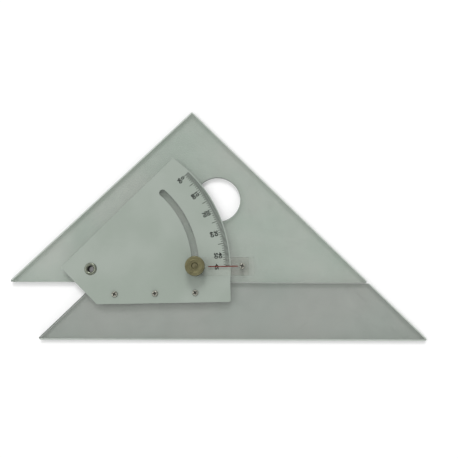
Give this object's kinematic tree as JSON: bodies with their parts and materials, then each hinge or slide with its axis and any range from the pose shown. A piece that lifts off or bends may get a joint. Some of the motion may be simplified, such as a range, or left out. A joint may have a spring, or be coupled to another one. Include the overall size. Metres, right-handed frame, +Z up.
{
  "type": "adjustable set square",
  "caption": "Adjustable set square: two clear blades pivoted at a hollow eyelet, with a white protractor plate, a hairline cursor and a knurled knob that locks the angle.",
  "frame": {"origin": "on the pivot axis, in the bore of the eyelet, level with the underside", "axes": "+X along the long drawing edge, away from the heel; +Y towards the right-angled tip; +Z up out of the drawing board"},
  "size_m": [0.2675, 0.1533, 0.0152],
  "materials": {
    "blade_acrylic": "polished clear sheet, faintly grey-green",
    "plate_white": "satin white sheet",
    "screw_steel": "dark plated",
    "eyelet_nickel": "nickel plated, rolled",
    "bolt_brass": "turned",
    "knob_brass": "turned and aged to olive brown",
    "cursor_clear": "polished clear strip",
    "spacer_clear": "saw-cut clear block with a brownish cast"
  },
  "bodies": {
    "base": {"base_blade": "blade_acrylic", "scale_plate": "plate_white", "plate_screws": "screw_steel", "pivot_eyelet": "eyelet_nickel", "pivot_washer": "eyelet_nickel"},
    "swing": {"swing_blade": "blade_acrylic", "lock_bolt": "bolt_brass", "cursor": "cursor_clear", "cursor_spacer": "spacer_clear", "cursor_screw": "screw_steel", "lock_washer": "bolt_brass"},
    "knob": {"lock_knob": "knob_brass"}
  },
  "joints": [
    {"name": "swing_angle", "type": "hinge", "parent": "base", "child": "swing", "pos_m": [0, 0, 0.0015], "axis": [0, 0, 1], "range_deg": [0, 45]},
    {"name": "knob_turn", "type": "hinge", "parent": "swing", "child": "knob", "pos_m": [0.06779, 0.00142, 0.0112], "axis": [0, 0, 1], "range_deg": [0, 360]}
  ]
}
